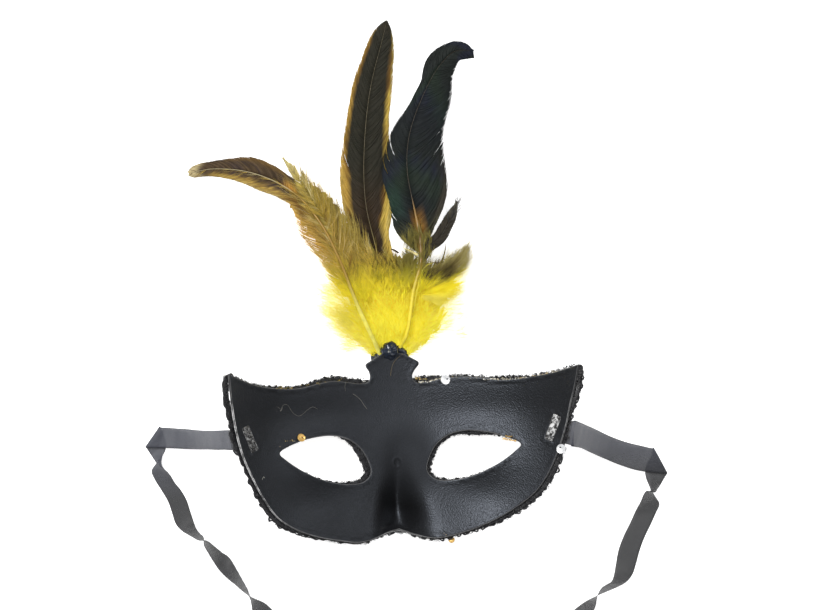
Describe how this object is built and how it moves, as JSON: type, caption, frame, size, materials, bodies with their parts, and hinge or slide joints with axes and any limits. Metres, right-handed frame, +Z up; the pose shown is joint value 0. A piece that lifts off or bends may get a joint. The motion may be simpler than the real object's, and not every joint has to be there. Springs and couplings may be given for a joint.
{
  "type": "feathered half mask",
  "caption": "Moulded half mask with braided edge, eye holes, tie ribbons and a spray of cock feathers over yellow down, lying face down.",
  "frame": {"origin": "the small flat at the tip of the nose, on which the mask rests face down", "axes": "+Z up out of the inside of the mask, towards the wearer; +Y up the forehead to the feathers; +X to the right as seen from the inside"},
  "size_m": [0.2627, 0.333, 0.0458],
  "materials": {
    "moulded_shell": "black, fine leather grain on the inside, pale at the cut edge",
    "braid": "shiny black scalloped thread braid with small sequins",
    "feather_brown": "dark brown cock feather with golden edges",
    "feather_gold": "gold and khaki hackle",
    "feather_black": "black feather with a green sheen",
    "feather_olive": "olive fluff",
    "dark_glue": "glossy dark hot glue",
    "yellow_down": "dyed yellow down",
    "ribbon": "thin grey satin ribbon, a little see-through",
    "clear_glue": "clear wrinkled hot glue",
    "sequin_silver": "silvered sequin",
    "sequin_gold": "gold sequin"
  },
  "bodies": {
    "root": {"mask_shell": "moulded_shell", "edge_trim": "braid", "eye_trim_left": "braid", "eye_trim_right": "braid", "feather_left_curved": "feather_brown", "feather_left_hackle": "feather_gold", "feather_centre_tall": "feather_brown", "feather_right_black": "feather_black", "feather_small_dark": "feather_black", "feather_small_olive": "feather_olive", "glue_blob": "dark_glue", "down_tuft": "yellow_down", "ribbon_left": "ribbon", "ribbon_right": "ribbon", "glue_patch_left": "clear_glue", "glue_patch_right": "clear_glue", "sequin_silver_top": "sequin_silver", "sequin_silver_side": "sequin_silver", "sequin_gold_left": "sequin_gold", "sequin_gold_right": "sequin_gold", "sequin_gold_bottom": "sequin_gold"}
  },
  "joints": []
}
